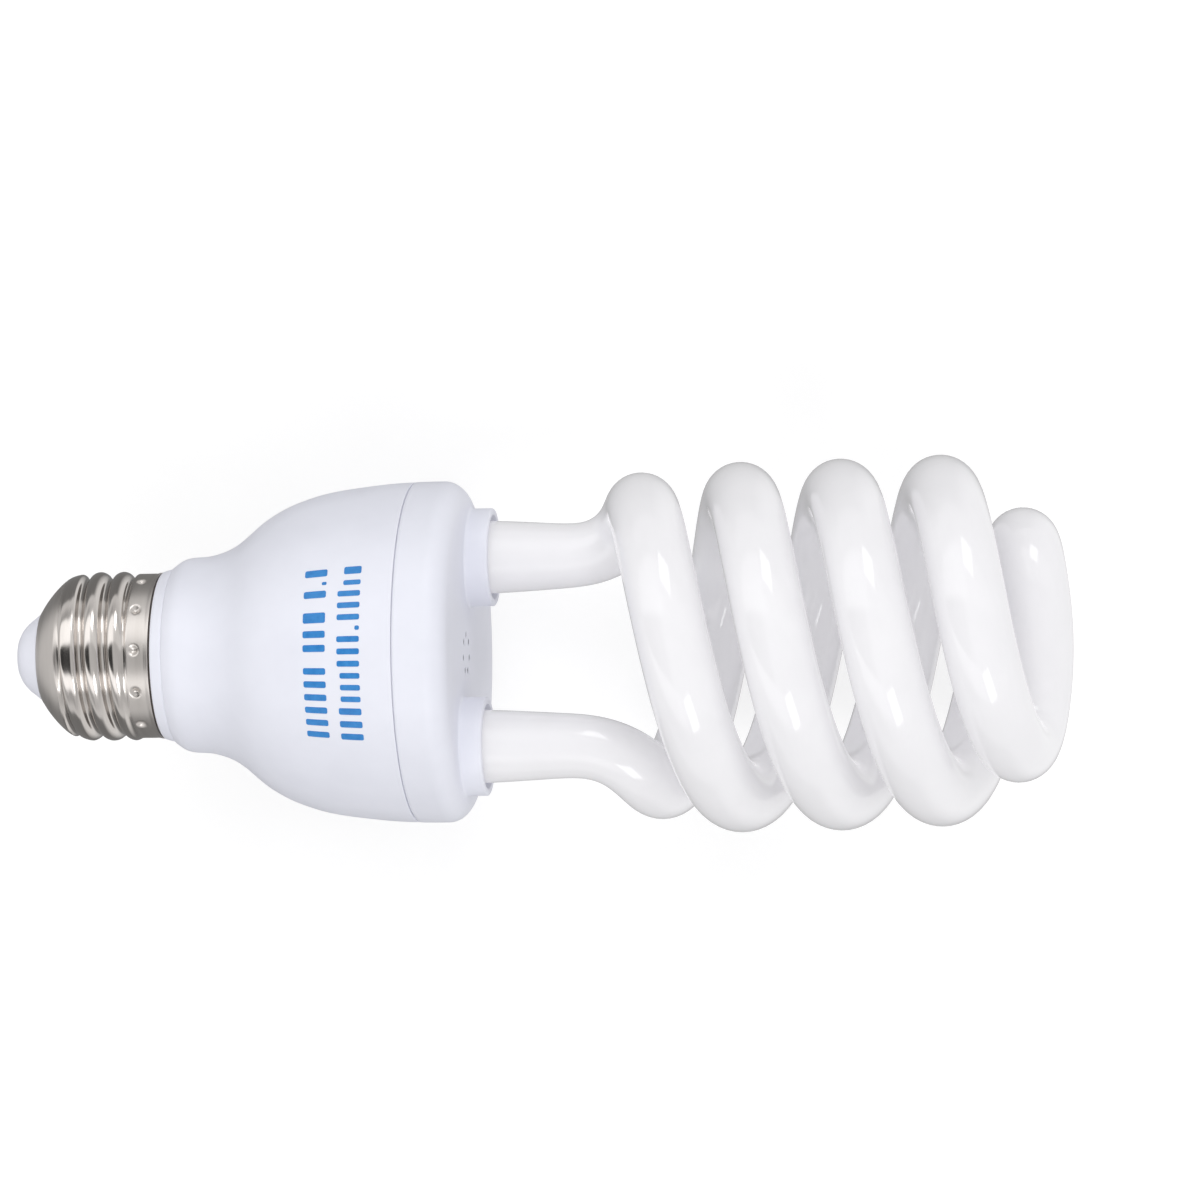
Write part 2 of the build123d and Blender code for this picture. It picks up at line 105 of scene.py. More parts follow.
def soften(a, w):
    k = np.exp(-0.5 * (np.arange(-4 * w, 4 * w + 1) / w) ** 2)
    p = np.concatenate([2 * a[0] - a[4 * w:0:-1], a, 2 * a[-1] - a[-2:-4 * w - 2:-1]])
    return np.convolve(p, k / k.sum(), "valid")


def arm(rows, n=2400):
    x, phi, r, t = np.array(rows, float).T
    phi = np.radians(phi)
    s = np.r_[0, np.cumsum(np.sqrt(np.diff(x) ** 2 + np.diff(r) ** 2 + ((r[1:] + r[:-1]) / 2 * np.diff(phi)) ** 2))]
    q = np.linspace(0, s[-1], n)
    x, phi, r, t = (steady(s, v, q) for v in (x, phi, r, t))
    return np.c_[x, r * np.cos(phi), r * np.sin(phi)], t


def crown(x0, t0, n=1300):
    """Half of the run over the top, from the end of a coil to the axis."""
    a, b, c, length = np.cumsum([CROWN_STRAIGHT, CROWN_EASE_IN, CROWN_HELD, CROWN_EASE_OUT])
    s = np.linspace(0, length, n)
    tight, out = 1 / CROWN_BEND, 1 / CROWN_OUT_R
    k = np.where(s < a, 0, np.where(s < b, tight * (0.5 - 0.5 * np.cos(np.pi * (s - a) / CROWN_EASE_IN)),
                 np.where(s < c, tight, out + (tight - out) * (0.5 + 0.5 * np.cos(np.pi * (s - c) / CROWN_EASE_OUT)))))

    def run(v):
        return np.r_[0, np.cumsum((v[1:] + v[:-1]) / 2 * (s[1] - s[0]))]

    turn = run(k)
    f = 1 - s / length
    x = x0 + (f - 2 * f ** 2 + f ** 3) * CROWN_SLOPE * length + (CROWN_X - x0) * (3 * f ** 2 - 2 * f ** 3)
    return np.c_[x, run(np.cos(turn)), -run(np.sin(turn))][::-1], (t0 + (CROWN_R - t0) * f)[::-1]


def centre_line(n=3600):
    a, ta = arm(LEG_1 + COIL)
    b, tb = arm(LEG_2 + COIL)
    c, tc = crown(COIL[-1][0], COIL[-1][3])
    half = np.array([1, -1, -1])
    p = np.r_[a, c[1:], (c * half)[-2:0:-1], (b * half)[::-1]]
    t = np.r_[ta, tc[1:], tc[-2:0:-1], tb[::-1]]
    s = np.r_[0, np.cumsum(np.linalg.norm(np.diff(p, axis=0), axis=1))]
    q = np.linspace(0, s[-1], n)
    p = np.stack([np.interp(q, s, p[:, i]) for i in range(3)], 1)
    t = np.interp(q, s, t)
    p[:, 1] += steady(*zip(*LEAN), p[:, 0])
    return np.stack([soften(p[:, i], 14) for i in range(3)], 1), soften(t, 14)


# ---- materials ------------------------------------------------------------
class Nodes:
    def __init__(self, name):
        self.material = bpy.data.materials.new(name)
        self.material.use_nodes = True
        self.tree = self.material.node_tree
        self.tree.nodes.clear()
        self.out = self.add("ShaderNodeOutputMaterial")
        self.shader = self.add("ShaderNodeBsdfPrincipled")
        self.link(self.shader.outputs[0], self.out.inputs[0])
        self.coords = self.add("ShaderNodeTexCoord").outputs["Object"]

    def add(self, kind, **values):
        node = self.tree.nodes.new(kind)
        for k, v in values.items():
            setattr(node, k, v)
        return node

    def link(self, a, b):
        self.tree.links.new(a, b)

    def noise(self, scale, detail=3.0, rough=0.5, stretch=(1, 1, 1)):
        place = self.add("ShaderNodeMapping")
        place.inputs["Scale"].default_value = stretch
        self.link(self.coords, place.inputs["Vector"])
        n = self.add("ShaderNodeTexNoise")
        n.inputs["Scale"].default_value = scale
        n.inputs["Detail"].default_value = detail
        n.inputs["Roughness"].default_value = rough
        self.link(place.outputs[0], n.inputs["Vector"])
        return n.outputs["Fac"]

    def waves(self, scale, stretch=(1, 1, 1), direction="X", distortion=0.0):
        place = self.add("ShaderNodeMapping")
        place.inputs["Scale"].default_value = stretch
        self.link(self.coords, place.inputs["Vector"])
        w = self.add("ShaderNodeTexWave", wave_type="BANDS", bands_direction=direction)
        w.inputs["Scale"].default_value = scale
        w.inputs["Distortion"].default_value = distortion
        self.link(place.outputs[0], w.inputs["Vector"])
        return w.outputs["Fac"]

    def ramp(self, fac, low, high, a=0.3, b=0.7):
        r = self.add("ShaderNodeValToRGB")
        r.color_ramp.elements[0].position, r.color_ramp.elements[1].position = a, b
        r.color_ramp.elements[0].color, r.color_ramp.elements[1].color = (*low, 1), (*high, 1)
        self.link(fac, r.inputs[0])
        return r.outputs[0]

    def span(self, fac, low, high, a=0.3, b=0.7):
        m = self.add("ShaderNodeMapRange")
        for k, v in zip(("From Min", "From Max", "To Min", "To Max"), (a, b, low, high)):
            m.inputs[k].default_value = v
        self.link(fac, m.inputs["Value"])
        return m.outputs[0]

    def bump(self, height, strength, distance):
        b = self.add("ShaderNodeBump")
        b.inputs["Strength"].default_value = strength
        b.inputs["Distance"].default_value = distance
        self.link(height, b.inputs["Height"])
        self.link(b.outputs[0], self.shader.inputs["Normal"])

    def set(self, **values):
        for k, v in values.items():
            self.shader.inputs[k.replace("_", " ")].default_value = v


def finish(name, low, high, rough, scale=300, stretch=(1, 1, 1), detail=4, metal=0.0, fine=None, turns=None, dull=None, **sockets):
    """A procedural finish: colour and roughness vary with a noise, and a finer noise or the turns of a wire lift the surface.
    dull is the stretch along X, in metres, that stays bright, and how much rougher the rest is."""
    n = Nodes(name)
    f = n.noise(scale, detail, 0.55, stretch)
    n.link(n.ramp(f, low, high), n.shader.inputs["Base Color"])
    r = n.span(f, *rough)
    if dull:
        parts = n.add("ShaderNodeSeparateXYZ")
        n.link(n.coords, parts.inputs[0])
        for at, way in ((dull[0], -1), (dull[1], 1)):
            extra = n.span(parts.outputs["X"], 0.0, dull[2], at - way * 0.0003, at + way * 0.0003)
            both = n.add("ShaderNodeMath", operation="ADD")
            n.link(r, both.inputs[0])
            n.link(extra, both.inputs[1])
            r = both.outputs[0]
    n.link(r, n.shader.inputs["Roughness"])
    if turns:
        n.bump(n.waves(turns[0], direction=turns[1], distortion=0.3), 0.8, turns[2])
    elif fine:
        n.bump(n.noise(fine[0], 2, 0.5), fine[1], fine[2])
    n.set(Metallic=metal, **sockets)
    return n.material


MATERIALS = {
    "nickel": finish("nickel_plate", (0.56, 0.527, 0.50), (0.64, 0.606, 0.58), (0.12, 0.20), 60, (14, 1, 1), 6, 1.0, (2600, 0.05, 0.00002), dull=(0.0082, 0.0191, 0.18)),
    "contact_metal": finish("solder", (0.52, 0.50, 0.46), (0.66, 0.63, 0.57), (0.28, 0.45), 900, metal=1.0, fine=(2400, 0.25, 0.00005)),
    "white_plastic": finish("white_moulding", (0.77, 0.78, 0.855), (0.795, 0.805, 0.88), (0.42, 0.50), 160, fine=(5200, 0.06, 0.00002)),
    # the coated glass carries a faint painted glow (emission 0.16); it stands in for light passing through the tube
    # and lifts the shaded back strands
    "phosphor_glass": finish("coated_glass_painted_glow", (0.68, 0.675, 0.695), (0.705, 0.70, 0.72), (0.07, 0.10), 120, detail=5, fine=(700, 0.02, 0.00002), IOR=1.5, Emission_Color=(1, 0.99, 1, 1), Emission_Strength=0.16),
    "cement": finish("cement", (0.62, 0.61, 0.58), (0.80, 0.79, 0.76), (0.75, 0.9), 1400, fine=(3800, 0.5, 0.0001)),
    "board_laminate": finish("laminate", (0.40, 0.29, 0.13), (0.52, 0.39, 0.20), (0.5, 0.65), 900, (1, 4, 1), fine=(3000, 0.15, 0.00004)),
    "can_sleeve": finish("shrink_sleeve", (0.012, 0.014, 0.022), (0.022, 0.025, 0.036), (0.22, 0.34), 500, fine=(1800, 0.08, 0.00003)),
    "ferrite": finish("ferrite", (0.022, 0.022, 0.024), (0.05, 0.05, 0.052), (0.6, 0.78), 1600, fine=(5200, 0.35, 0.00006)),
    "copper": finish("enamelled_wire", (0.42, 0.14, 0.045), (0.60, 0.23, 0.08), (0.22, 0.34), 700, metal=1.0, turns=(900, "X", 0.0001)),
    "black_moulding": finish("black_moulding", (0.010, 0.010, 0.011), (0.020, 0.020, 0.021), (0.5, 0.68), 900, fine=(5200, 0.3, 0.00004)),
    "dipped_red": finish("red_dip", (0.26, 0.018, 0.010), (0.36, 0.035, 0.018), (0.16, 0.28), 500, fine=(900, 0.15, 0.00008)),
    "dipped_green": finish("green_dip", (0.012, 0.085, 0.035), (0.025, 0.13, 0.06), (0.16, 0.28), 500, fine=(900, 0.15, 0.00008)),
    "resistor_body": finish("resistor_lacquer", (0.44, 0.30, 0.14), (0.56, 0.40, 0.21), (0.3, 0.42), 700, fine=(2600, 0.15, 0.00004)),
    "tinned_wire": finish("tinned_wire", (0.52, 0.52, 0.51), (0.68, 0.68, 0.67), (0.22, 0.36), 1500, metal=1.0, fine=(3000, 0.15, 0.00003)),
    "wire_red": finish("red_insulation", (0.34, 0.012, 0.008), (0.42, 0.022, 0.014), (0.34, 0.46), 900, fine=(3600, 0.12, 0.00003)),
    "wire_black": finish("black_insulation", (0.010, 0.010, 0.010), (0.022, 0.022, 0.022), (0.34, 0.46), 900, fine=(3600, 0.12, 0.00003)),
}
# dark brown for the ring in the gap at the cap's rim: painted shade
GAP_PAINTED_SHADE = finish("gap_painted_shade", (0.035, 0.026, 0.022), (0.06, 0.045, 0.038), (0.5, 0.7), 900, fine=(2600, 0.2, 0.00004))
# dark grey for the liners inside the vents: painted shade
VENT_PAINTED_SHADE = finish("vent_painted_shade_finish", (0.10, 0.10, 0.12), (0.15, 0.15, 0.17), (0.6, 0.8), 1200, fine=(2600, 0.2, 0.00003))
INK = finish("blue_ink", (0.008, 0.175, 0.50), (0.03, 0.24, 0.60), (0.4, 0.55), 900, detail=6, fine=(5200, 0.1, 0.00002))

for part in frame["record"]["subparts"]:
    mesh = frame["nodes"][part["node"]].data
    mesh.materials.clear()
    mesh.materials.append(MATERIALS[part["material_slot"]])


# ---- meshes ---------------------------------------------------------------
def put(name, verts, faces, material, stands_for=(), sharp=38):
    mesh = bpy.data.meshes.new(name)
    mesh.from_pydata([tuple(float(c) * 0.001 for c in v) for v in verts], [], faces)
    bm = bmesh.new()
    bm.from_mesh(mesh)
    bmesh.ops.recalc_face_normals(bm, faces=bm.faces)
    bm.to_mesh(mesh)
    bm.free()
    mesh.polygons.foreach_set("use_smooth", [True] * len(mesh.polygons))
    mesh.set_sharp_from_angle(angle=math.radians(sharp))
    mesh.materials.append(material)
    piece = bpy.data.objects.new(name, mesh)
    scene.collection.objects.link(piece)
    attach(piece, "root")
    if stands_for:
        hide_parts(*stands_for)
    return piece


def bands(rings, closed=False):
    """Faces between rings of vertex numbers; a ring of one vertex is a pole."""
    faces = []
    pairs = list(zip(rings[:-1], rings[1:])) + ([(rings[-1], rings[0])] if closed else [])
    for a, b in pairs:
        n = max(len(a), len(b))
        for i in range(n):
            j = (i + 1) % n
            if len(a) == 1:
                faces.append((a[0], b[j], b[i]))
            elif len(b) == 1:
                faces.append((a[i], a[j], b[0]))
            else:
                faces.append((a[i], a[j], b[j], b[i]))
    return faces


def lathe(profile, segments):
    """Verts and rings of an outline (X, radius) turned about X."""
    verts, rings = [], []
    for x, r in profile:
        if r < 1e-6:
            rings.append([len(verts)])
            verts.append((x, 0.0, 0.0))
            continue
        rings.append(list(range(len(verts), len(verts) + segments)))
        a = np.arange(segments) * 2 * math.pi / segments
        verts += [(x, r * math.cos(t), r * math.sin(t)) for t in a]
    return verts, rings


# ---- screw cap ------------------------------------------------------------
PITCH, CREST_X, CREST_R, CREST_ARC, ROOT_ARC = 3.629, 9.2, 13.05, 1.5, 0.5
SHOULDER = [(3.9, 7.35), (4.8, 8.7), (5.8, 9.95), (7.0, 11.2), (7.9, 11.95), (8.6, 12.35), (9.3, 12.58), (10.2, 12.78), (11.2, 13.12), (12.0, 13.6), (13.0, 14.4), (30.0, 30.0)]
SKIRT_R, SHELL_END, SHEET = 12.7, 22.6, 0.37
DIMPLES = [(20.4, math.radians(86 - 30 * i)) for i in range(12)]


def shell_r(x, phi):
    """Outer radius of the rolled shell; phi runs from +Y to +Z."""
    u = np.mod((x - CREST_X) / PITCH - phi / (2 * math.pi), 1.0)
    w = np.minimum(u, 1 - u) * PITCH
    both = CREST_ARC + ROOT_ARC
    q = PITCH / 2 * CREST_ARC / both
    fall = both - math.sqrt(both ** 2 - (PITCH / 2) ** 2)
    top = CREST_R - CREST_ARC + np.sqrt(CREST_ARC ** 2 - np.minimum(w, q) ** 2)
    low = CREST_R - fall + ROOT_ARC - np.sqrt(ROOT_ARC ** 2 - np.minimum(PITCH / 2 - w, PITCH / 2 - q) ** 2)
    thread = np.where(w < q, top, low)
    f = step(18.1, 19.3, x)
    thread = thread * (1 - f) + SKIRT_R * f
    s = steady(*zip(*SHOULDER), x)
    k = 0.28
    h = np.clip(0.5 + 0.5 * (s - thread) / k, 0, 1)
    r = s * (1 - h) + thread * h - k * h * (1 - h)
    r = r + 0.13 * step(21.9, 22.45, x)
    for dx, dp in DIMPLES:
        away = np.mod(phi - dp + math.pi, 2 * math.pi) - math.pi
        d2 = ((x - dx) ** 2 + (away * SKIRT_R) ** 2) / 1.0 ** 2
        r = r - 0.55 * np.where(d2 < 1, (1 - d2) ** 2, 0)
    return r


xs = np.r_[np.linspace(3.9, 8.4, 16), np.linspace(8.4, 19.4, 86)[1:], np.linspace(19.4, 21.5, 18)[1:], np.linspace(21.5, SHELL_END, 10)[1:]]
SEG = 384
phi = np.arange(SEG) * 2 * math.pi / SEG
verts, rings = [], []


def ring(x, r):
    rings.append(list(range(len(verts), len(verts) + SEG)))
    verts.extend(np.c_[np.full(SEG, x), r * np.cos(phi), r * np.sin(phi)].tolist())


for x in xs:
    ring(x, shell_r(x, phi))
ring(SHELL_END + 0.06, shell_r(SHELL_END, phi) - 0.10)
ring(SHELL_END + 0.06, shell_r(SHELL_END, phi) - SHEET + 0.05)
for x in xs[::-1][1::3]:
    if x > 4.6:
        ring(x, np.minimum(shell_r(x, phi) - SHEET, shell_r(x - 0.25, phi) - 0.2))
ring(4.2, np.full(SEG, 7.05))
ring(3.9, np.full(SEG, 7.05))
put("screw_cap", verts, bands(rings, True), MATERIALS["nickel"], ["screw_shell"], 50)

# ---- coiled tube ----------------------------------------------------------
line, thick = centre_line()
pick = np.round(np.linspace(0, len(line) - 1, 1050)).astype(int)
along = np.gradient(line, axis=0)
along /= np.linalg.norm(along, axis=1)[:, None]
side, v = np.zeros_like(line), np.array([0, 0, 1.0])
for i, t in enumerate(along):
    v = v - (v @ t) * t
    v /= np.linalg.norm(v)
    side[i] = v
SEG = 44
turn = np.arange(SEG) * 2 * math.pi / SEG
verts, rings = [], []
for i in pick:
    up = np.cross(along[i], side[i])
    rings.append(list(range(len(verts), len(verts) + SEG)))
    verts += (line[i] + thick[i] * (np.cos(turn)[:, None] * side[i] + np.sin(turn)[:, None] * up)).tolist()
for first in (0, -1):
    pole = [len(verts)]
    verts.append(line[pick[first]].tolist())
    rings.insert(0, pole) if first == 0 else rings.append(pole)
put("coiled_tube", verts, bands(rings), MATERIALS["phosphor_glass"], ["glass_tube"], 60)


# ---- housing --------------------------------------------------------------
dense = np.linspace(24.9, 62.3, 500)
bell = soften(natural(*zip(*([(23.4, 12.4), (24.2, 12.95)] + NECK + BELL + [(66.0, 26.3)])), dense), 9) - 0.08


def bell_r(x):
    return np.interp(x, dense, bell)


outer = [(19.6, 11.85), (22.62, 11.85), (22.62, 12.3), (22.92, 12.62), (22.92, 12.86), (23.0, 12.97), (23.4, 13.1), (24.0, 13.26), (24.56, 13.42), (24.68, 13.38), (24.78, 13.45)]
outer += [(x, bell_r(x)) for x in np.r_[np.linspace(24.92, 31.0, 34), np.linspace(31.0, 62.2, 70)[1:]]]
outer += [(62.4, bell_r(62.3) - 0.01), (62.49, bell_r(62.3) - 0.08), (62.5, bell_r(62.3) - 0.2), (62.5, 24.62), (56.4, 24.62)]
inner = [(x, bell_r(x) - 1.6) for x in np.linspace(56.4, 27.0, 40)] + [(25.6, 11.6), (24.6, 11.0), (19.6, 11.0)]
verts, rings = lathe(outer + inner, 192)
put("bell_housing", verts, bands(rings, True), MATERIALS["white_plastic"], ["lower_housing"], 42)

# a dark brown ring in the gap between the cap's rim and the housing: painted shade of the gap
verts, rings = lathe([(22.66, 12.36), (22.69, 12.70), (22.87, 12.73), (22.90, 12.64), (22.67, 12.35)], 192)
put("cap_gap_painted_shade", verts, bands(rings, True), GAP_PAINTED_SHADE)

# ---- cover ----------------------------------------------------------------
SEG = 180
EDGE = 25.6


def face_x(r):
    """Height of the cover's outer face at a distance from the axis."""
    r = np.asarray(r, float)
    dish = 70.4 - 0.5 * (1 - (np.minimum(r, 22.4) / 22.4) ** 2)
    edge = 67.0 + 3.4 * np.sqrt(np.maximum(1 - (np.maximum(r - 22.4, 0) / 3.8) ** 2, 0))
    return np.where(r < 22.4, dish, edge)


VENTS = [(-0.3 + 2.9 * math.cos(2 * math.pi * i / 7), 2.9 * math.sin(2 * math.pi * i / 7)) for i in range(7)]


def circle(y, z, r, n):
    a = np.arange(n) * 2 * math.pi / n
    return np.c_[y + r * np.cos(a), z + r * np.sin(a)]


def disc(edge_r, edge_n, holes):
    """A round sheet with round holes: points, the numbers of each boundary loop and triangles."""
    loops, pts = [], []
    for ring_pts in [circle(0, 0, edge_r, edge_n)] + [circle(*h) for h in holes]:
        loops.append(list(range(len(pts), len(pts) + len(ring_pts))))
        pts += ring_pts.tolist()
    r, gap = edge_r - 0.35, 0.35
    while r > 0.3:
        for y, z in circle(0, 0, r, max(6, int(2 * math.pi * r / 0.85))):
            if all(math.hypot(y - h[0], z - h[1]) > h[2] + (0.32 if h[2] > 2 else 0.2) for h in holes):
                pts.append([y, z])
        gap = min(gap * 1.1, 0.85)
        r -= gap
    edges = [(l[i], l[(i + 1) % len(l)]) for l in loops for i in range(len(l))]
    out, _, tris, came, _, _ = delaunay_2d_cdt([Vector(q) for q in pts], edges, [], 1, 1e-7)
    faces = []
    for t in tris:
        y, z = sum((out[i] for i in t), Vector((0, 0))) / len(t)
        if all(math.hypot(y - h[0], z - h[1]) > h[2] * 0.999 for h in holes) and math.hypot(y, z) < edge_r:
            faces.append(tuple(came[i][0] for i in t))
    return np.array(pts), loops, faces


verts, faces = [], []


def add(points):
    first = len(verts)
    verts.extend([tuple(map(float, q)) for q in points])
    return list(range(first, len(verts)))


FILLET, COLLAR, BORE = 0.5, 7.55, 6.45
holes_out = [(y, z, COLLAR + FILLET, 72) for y, z in LEGS] + [(y, z, 0.62, 16) for y, z in VENTS]
holes_in = [(y, z, COLLAR, 72) for y, z in LEGS] + [(y, z, 0.55, 16) for y, z in VENTS]
pts, loops_out, tris = disc(EDGE, SEG, holes_out)
base = add(np.c_[face_x(np.hypot(*pts.T)), pts])[0]
faces += [tuple(base + i for i in t) for t in tris]
loops_out = [[base + i for i in l] for l in loops_out]
pts, loops_in, tris = disc(23.0, SEG, holes_in)
base = add(np.c_[np.full(len(pts), 68.8), pts])[0]
faces += [tuple(base + i for i in t) for t in tris]
loops_in = [[base + i for i in l] for l in loops_in]
# rim, skirt and back to the inner face
side = [(67.0 + 3.4 * math.sin(u), 22.4 + 3.8 * math.cos(u)) for u in np.linspace(math.acos((EDGE - 22.4) / 3.8), 0, 9)[1:]]
side += [(65.0, 26.19), (63.2, 26.17), (62.78, 26.15), (62.70, 26.08), (62.68, 25.96), (62.68, 25.84), (62.54, 25.82), (62.54, 24.5), (56.6, 24.5), (56.5, 24.4), (56.5, 23.1), (56.6, 23.0), (66.0, 23.0)]
rings = [loops_out[0]] + [add(np.c_[np.full(SEG, x), circle(0, 0, r, SEG)]) for x, r in side] + [loops_in[0]]
faces += bands(rings)
for k, (y, z) in enumerate(LEGS):
    foot = np.array([verts[i] for i in loops_out[1 + k]])
    rings = [loops_out[1 + k]]
    for u in np.linspace(0, math.pi / 2, 7)[1:]:
        rings.append(add(np.c_[foot[:, 0] + FILLET * (1 - math.cos(u)), circle(y, z, COLLAR + FILLET * (1 - math.sin(u)), 72)]))
    for x, r in [(72.2, COLLAR), (73.5, COLLAR), (73.68, COLLAR - 0.06), (73.78, COLLAR - 0.2), (73.8, COLLAR - 0.36), (73.8, BORE + 0.24), (73.75, BORE + 0.07), (73.6, BORE),
                 (69.0, BORE), (64.05, BORE), (64.0, BORE + 0.05), (64.0, COLLAR - 0.05), (64.05, COLLAR), (67.0, COLLAR)]:
        rings.append(add(np.c_[np.full(72, x), circle(y, z, r, 72)]))
    faces += bands(rings + [loops_in[1 + k]])
for k, (y, z) in enumerate(VENTS):
    top = np.array([verts[i] for i in loops_out[3 + k]])
    rings = [loops_out[3 + k], add(np.c_[top[:, 0] - 0.07, circle(y, z, 0.56, 16)]), add(np.c_[top[:, 0] - 0.2, circle(y, z, 0.55, 16)]), loops_in[3 + k]]
    faces += bands(rings)
put("collar_cover", verts, faces, MATERIALS["white_plastic"], ["upper_cover"], 42)

# dark grey liners inside the vents: painted shade standing in for the shade within the holes
verts, faces = [], []
for y, z in VENTS:
    x = float(face_x(math.hypot(y, z)))
    faces += bands([add(np.c_[np.full(16, x - d), circle(y, z, r, 16)]) for d, r in ((0.10, 0.545), (0.10, 0.50), (1.0, 0.50), (1.0, 0.545))], True)
put("vent_painted_shade", verts, faces, VENT_PAINTED_SHADE)

# ---- printed blocks on the housing ----------------------------------------
ROWS = [(50.65, 24.95, [(1.5, 3.5)] * 6 + [(0.9, 0)] + [(1.6, 3.5), (1.6, 3.5), (2.4, 3.5)] + [(0.6, 0)] + [(1.7, 3.5), (0.75, 0.75), (1.8, 3.5)]),
        (55.95, 25.65, [(1.6, 3.5)] * 3 + [(1.3, 3.1)] * 3 + [(1.35, 3.5)] * 3 + [(1.0, 0.7)] + [(1.35, 3.5)] * 3 + [(1.2, 2.7), (1.9, 2.7)])]
verts, faces = [], []
for row_x, row_r, blocks in ROWS:
    total = sum(w for w, _ in blocks) + 0.5 * (len(blocks) - 1)
    at = -total / 2
    for full, h in blocks:
        if h:
            w = full * 0.66
            c = min(0.28, w / 2.6, h / 2.6)
            across = np.r_[c - c * np.cos(np.linspace(0.12, math.pi / 2, 5)), np.linspace(c, w - c, 5)[1:-1], w - c + c * np.sin(np.linspace(0, math.pi / 2 - 0.12, 5))]
            half = np.array([h / 2 - c + math.sqrt(max(c * c - max(c - s, s - w + c, 0) ** 2, 0)) for s in across])
            # short blocks stand on the row's base line
            mid = row_x + (3.5 - h) / 2 * (1 if h < 3.4 else 0)
            loops = []
            for lift in (-0.05, 0.035):
                grid = []
                for s, q in zip(across, half):
                    xs = np.linspace(mid - q, mid + q, 9)
                    ang = math.pi / 2 - (at + full * 0.17 + s) / row_r
                    rr = bell_r(xs) + lift
                    grid.append(add(np.c_[xs, rr * math.cos(ang), rr * math.sin(ang)]))
                loops.append(grid)
            low, high = loops
            n, m = len(across), 9
            for g in (low, high):
                faces += [(g[i][j], g[i + 1][j], g[i + 1][j + 1], g[i][j + 1]) for i in range(n - 1) for j in range(m - 1)]
            rim = [(i, 0) for i in range(n)] + [(n - 1, j) for j in range(1, m)] + [(i, m - 1) for i in range(n - 2, -1, -1)] + [(0, j) for j in range(m - 2, 0, -1)]
            faces += [(low[i][j], low[k][l], high[k][l], high[i][j]) for (i, j), (k, l) in zip(rim, rim[1:] + rim[:1])]
        at += full + 0.5
put("print_blocks", verts, faces, INK)


# ---- stage ----------------------------------------------------------------
FLOOR_Z = -0.0288


def sheet(name, size, place, turn, material):
    bm = bmesh.new()
    bmesh.ops.create_grid(bm, x_segments=1, y_segments=1, size=1.0)
    bmesh.ops.scale(bm, vec=(size[0], size[1], 1), verts=bm.verts)
    mesh = bpy.data.meshes.new(name)
    bm.to_mesh(mesh)
    bm.free()
    mesh.materials.append(material)
    thing = bpy.data.objects.new(name, mesh)
    thing.location, thing.rotation_euler = place, turn
    scene.collection.objects.link(thing)
    return thing


floor_finish = finish("floor_table", (0.44, 0.44, 0.44), (0.47, 0.47, 0.47), (0.8, 0.9), 30, fine=(2500, 0.05, 0.00005), Emission_Color=(1, 1, 1, 1), Emission_Strength=0.60)
floor = sheet("floor", (9, 9), (0.08, 0, FLOOR_Z), (0, 0, 0), floor_finish)
# the floor shows white and takes shadows, but throws no glare back on the lamp
floor.visible_diffuse = floor.visible_glossy = False

# the room: pale all round, with a dark side high on the left and dark ground on either side of the lamp
world = bpy.data.worlds.new("studio")
scene.world = world
world.use_nodes = True
wt = world.node_tree
wt.nodes.clear()


def room(kind, **values):
    node = wt.nodes.new(kind)
    for k, v in values.items():
        setattr(node, k, v)
    return node


def greys(value, rows):
    """Grey by value: rows of (value, grey)."""
    low, high = rows[0][0], rows[-1][0]
    place = room("ShaderNodeMapRange")
    place.inputs["From Min"].default_value, place.inputs["From Max"].default_value = low, high
    wt.links.new(value, place.inputs["Value"])
    ramp = room("ShaderNodeValToRGB")
    e = ramp.color_ramp.elements
    e[0].color, e[1].color = (rows[0][1],) * 3 + (1,), (rows[-1][1],) * 3 + (1,)
    for at, c in rows[1:-1]:
        e.new((at - low) / (high - low)).color = (c, c, c, 1)
    wt.links.new(place.outputs[0], ramp.inputs[0])
    return ramp.outputs[0]


def blend(fac, low, high):
    mix = room("ShaderNodeMix", data_type="RGBA")
    for value, socket in ((fac, mix.inputs[0]), (low, mix.inputs[6]), (high, mix.inputs[7])):
        wt.links.new(value, socket)
    return mix.outputs[2]


way = room("ShaderNodeSeparateXYZ")
wt.links.new(room("ShaderNodeTexCoord").outputs["Generated"], way.inputs[0])
swing = room("ShaderNodeMath", operation="ARCTAN2")
wt.links.new(way.outputs["Y"], swing.inputs[0])
wt.links.new(way.outputs["Z"], swing.inputs[1])
strips = greys(swing.outputs[0], [(math.radians(d), c) for d, c in ((-90, 0.3), (-56, 0.3), (-50, 1.0), (-30, 1.0), (-24, 0.0), (15, 0.0), (21, 1.0), (56, 1.0), (62, 0.3), (90, 0.3))])
left = room("ShaderNodeMath", operation="MULTIPLY")
wt.links.new(strips, left.inputs[0])
wt.links.new(greys(way.outputs["X"], [(-1, 1.7), (-0.2, 1.7), (0.05, 1.0), (1, 1.0)]), left.inputs[1])
middle = greys(way.outputs["X"], [(-1, 0.05), (-0.42, 0.05), (-0.26, 0.72), (1, 0.66)])
above = room("ShaderNodeMath", operation="MAXIMUM")
wt.links.new(left.outputs[0], above.inputs[0])
wt.links.new(middle, above.inputs[1])
below = greys(way.outputs["X"], [(-1, 0.85), (-0.88, 0.85), (-0.74, 0.24), (0.05, 0.24), (0.40, 1.0), (1, 1.0)])
horizon = greys(way.outputs["X"], [(-1, 0.86), (0, 0.88), (1, 0.86)])
lower = blend(greys(way.outputs["Z"], [(-0.08, 0), (-0.01, 1)]), below, horizon)
light = room("ShaderNodeBackground")
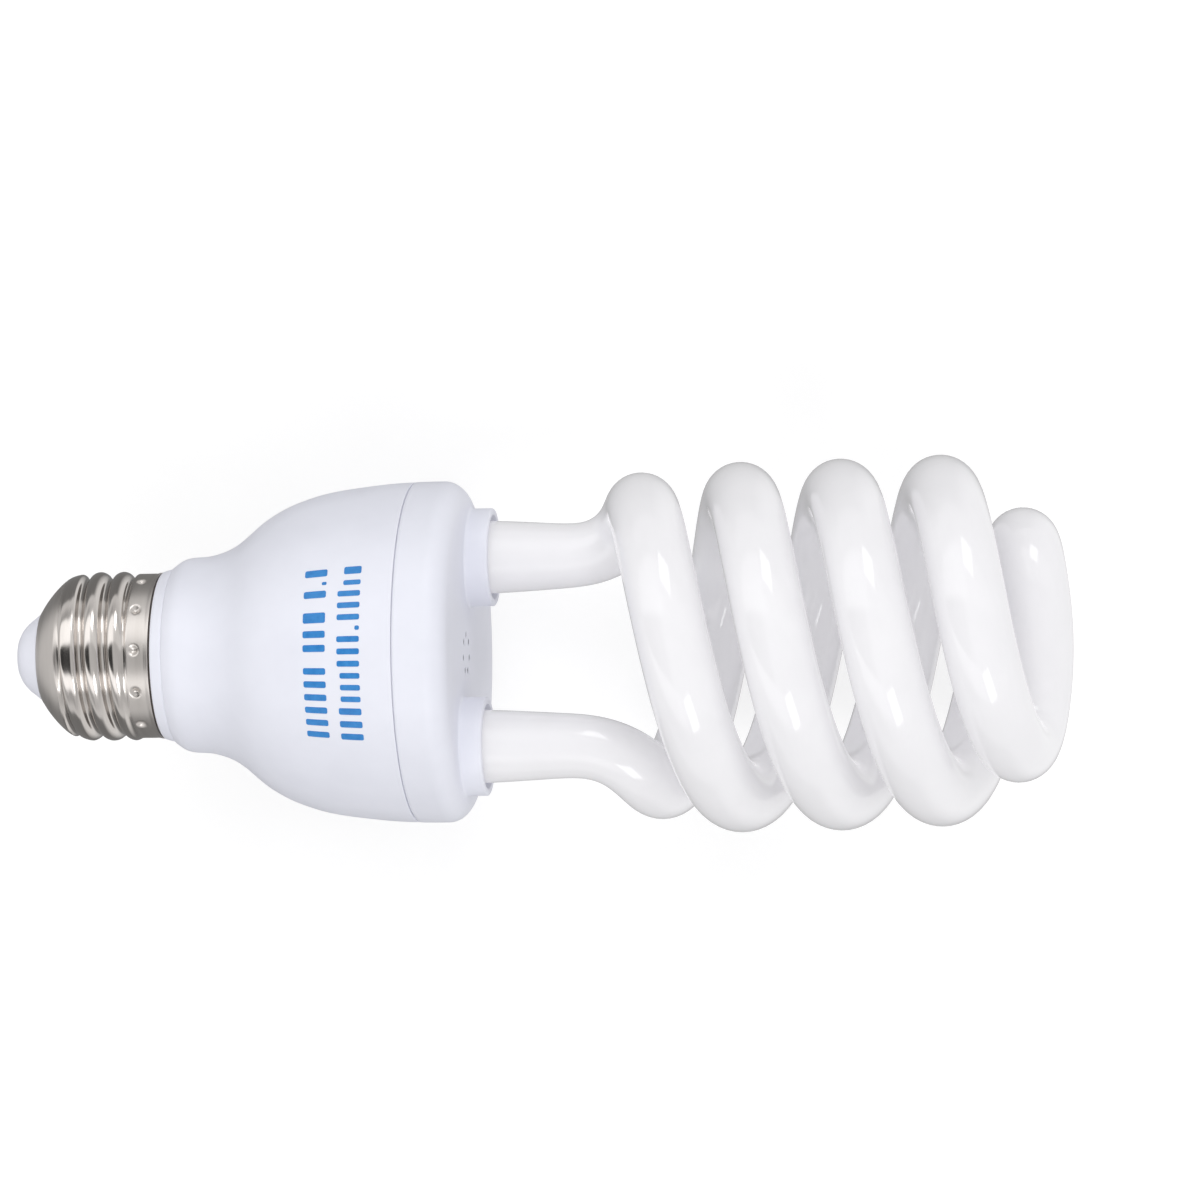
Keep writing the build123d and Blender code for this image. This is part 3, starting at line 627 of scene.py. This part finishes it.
light.inputs["Strength"].default_value = 0.97
wt.links.new(blend(greys(way.outputs["Z"], [(0.10, 0), (0.16, 0.16), (0.28, 0.84), (0.34, 1)]), lower, above.outputs[0]), light.inputs["Color"])
wt.links.new(light.outputs[0], room("ShaderNodeOutputWorld").inputs[0])


def softbox(name, tilt, lean, size, power, away=1.7, shine=True):
    """A square light, tilt degrees from straight above towards +Y and lean degrees towards +X."""
    d = Vector((math.sin(math.radians(lean)), math.sin(math.radians(tilt)), math.cos(math.radians(tilt)))).normalized()
    light = bpy.data.lights.new(name, "AREA")
    light.shape, light.size, light.size_y, light.energy = "RECTANGLE", size[0], size[1], power
    lamp = bpy.data.objects.new(name, light)
    lamp.location = Vector((0.085, 0, 0)) + d * away
    lamp.rotation_mode = "QUATERNION"
    lamp.rotation_quaternion = d.to_track_quat("Z", "Y")
    lamp.visible_camera = False
    lamp.visible_glossy = shine
    scene.collection.objects.link(lamp)


softbox("softbox_upper", 52, 13, (0.65, 0.65), 4.6)
softbox("softbox_lower", -38, 15, (0.65, 0.65), 5.4)
softbox("fill", -44, -12, (1.1, 0.9), 1.3, 1.7, False)

# ---- camera ---------------------------------------------------------------
a, r = math.radians(9.5), math.radians(0.75)
back = Vector((math.sin(a), 0, math.cos(a)))
level = Vector((math.cos(a), 0, -math.sin(a)))
right = math.cos(r) * level - math.sin(r) * Vector((0, 1, 0))
up = math.sin(r) * level + math.cos(r) * Vector((0, 1, 0))
spot = Vector((0.062, 0, 0)) + right * 0.02835 + up * 0.00805
eye = Vector((0.062, 0, 0)) + back * 0.95
ahead = (spot - eye).normalized()
right = ahead.cross(up).normalized()
up = right.cross(ahead)
data = bpy.data.cameras.new("camera")
data.sensor_width, data.lens = 36.0, 185.25
data.clip_start, data.clip_end = 0.01, 50.0
camera = bpy.data.objects.new("camera", data)
camera.matrix_world = Matrix.Translation(eye) @ Matrix((right, up, -ahead)).transposed().to_4x4()
scene.collection.objects.link(camera)
scene.camera = camera

bpy.context.view_layer.update()
